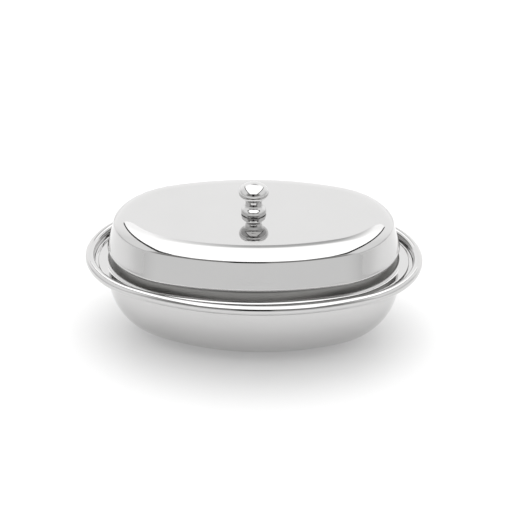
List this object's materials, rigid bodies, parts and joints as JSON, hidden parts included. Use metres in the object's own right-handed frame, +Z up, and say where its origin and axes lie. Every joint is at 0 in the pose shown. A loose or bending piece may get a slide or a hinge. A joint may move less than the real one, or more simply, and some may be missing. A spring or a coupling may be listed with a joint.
{
  "type": "butter dish",
  "caption": "Oval covered butter dish in polished steel: deep dish with a rolled rim, and a domed lid with a small turned knob that lifts off.",
  "frame": {"origin": "middle of the flat base, at the surface the dish stands on", "axes": "+Z up, +X along the long axis of the oval, the longest extent; -Y is the long side that faces the viewer"},
  "size_m": [0.19, 0.129, 0.0902],
  "materials": {
    "dish_steel": "mirror-polished stainless steel",
    "lid_steel": "mirror-polished stainless steel",
    "knob_steel": "mirror-polished, turned",
    "fastener_steel": "plain zinc-plated"
  },
  "bodies": {
    "dish": {"dish": "dish_steel"},
    "lid": {"lid": "lid_steel", "knob": "knob_steel", "knob_washer": "fastener_steel", "knob_screw": "fastener_steel"}
  },
  "joints": [
    {"name": "lid_lift", "type": "slide", "parent": "dish", "child": "lid", "axis": [0, 0, 1], "range_m": [0, 0.08]}
  ]
}
